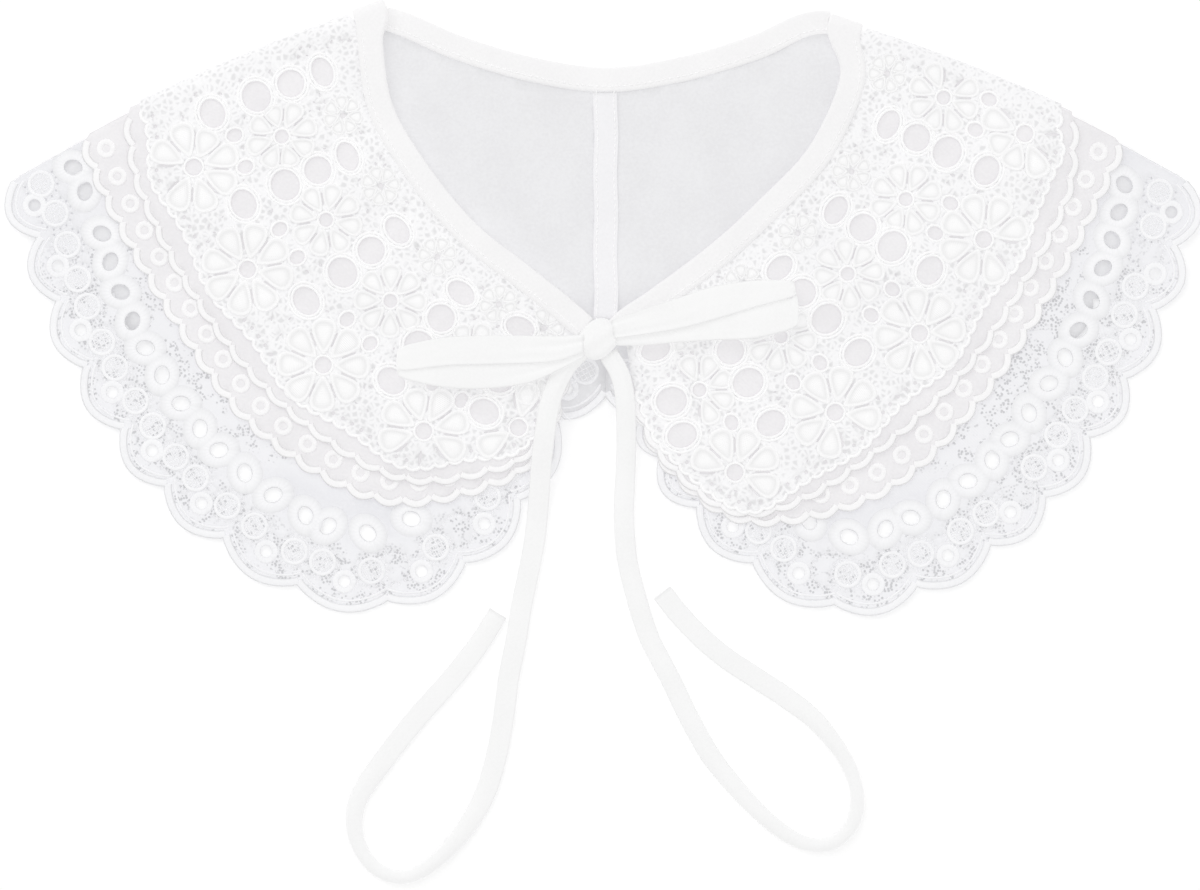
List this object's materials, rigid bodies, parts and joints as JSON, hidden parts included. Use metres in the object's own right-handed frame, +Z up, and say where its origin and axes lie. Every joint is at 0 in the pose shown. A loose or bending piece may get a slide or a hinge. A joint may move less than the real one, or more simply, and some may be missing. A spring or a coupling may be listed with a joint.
{
  "type": "lace collar",
  "caption": "Tiered lace shawl collar laid flat, folded over at the shoulders, with a scalloped eyelet border and a narrow ribbon bow at the front.",
  "frame": {"origin": "middle of the collar's outline as it lies, on the surface it lies on; the tie tails are not counted", "axes": "+X along the collar's width from the picture's left to its right, +Y towards the back neck, +Z up from the surface"},
  "size_m": [0.4622, 0.3403, 0.0156],
  "materials": {
    "organza": "sheer white organza, embroidered border",
    "cotton_lace": "matt white cotton thread lace",
    "ribbon": "plain white woven ribbon with a slight sheen"
  },
  "bodies": {
    "root": {"base_left": "organza", "base_right": "organza", "ring_tier_left": "cotton_lace", "ring_tier_right": "cotton_lace", "narrow_tier_left": "cotton_lace", "narrow_tier_right": "cotton_lace", "daisy_lace_left": "cotton_lace", "daisy_lace_right": "cotton_lace", "back_layers": "cotton_lace", "back_seam": "organza", "neck_binding_left": "cotton_lace", "neck_binding_right": "cotton_lace", "neck_binding_back": "cotton_lace", "bow_knot": "ribbon", "bow_loop_left": "ribbon", "bow_loop_right": "ribbon", "tie_tail_left": "ribbon", "tie_tail_right": "ribbon"}
  },
  "joints": []
}
